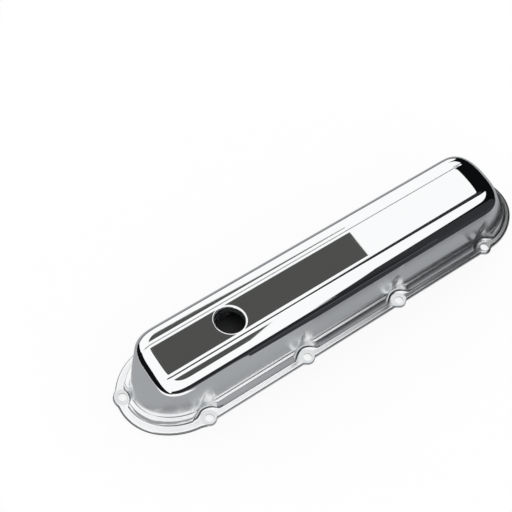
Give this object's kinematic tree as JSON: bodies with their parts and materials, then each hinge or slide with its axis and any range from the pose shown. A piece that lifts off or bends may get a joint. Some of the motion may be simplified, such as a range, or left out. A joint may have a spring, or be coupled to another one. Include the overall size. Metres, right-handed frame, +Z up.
{
  "type": "engine valve cover",
  "caption": "Long chromed steel pressing open below, with a bolted round-ended flange, bolt pockets in its walls and a round breather hole in its raised crown.",
  "frame": {"origin": "centre of the cover in plan, on the plane that the lower edge of the flange's turned-down rim stands on", "axes": "+X along the cover, away from the breather hole; +Y across it; +Z up through the crown"},
  "size_m": [0.4798, 0.106, 0.065],
  "materials": {
    "chrome_plate": "polished chrome plate",
    "baffle_steel": "plain sheet steel"
  },
  "bodies": {
    "root": {"cover_shell": "chrome_plate", "oil_baffle": "baffle_steel"}
  },
  "joints": []
}
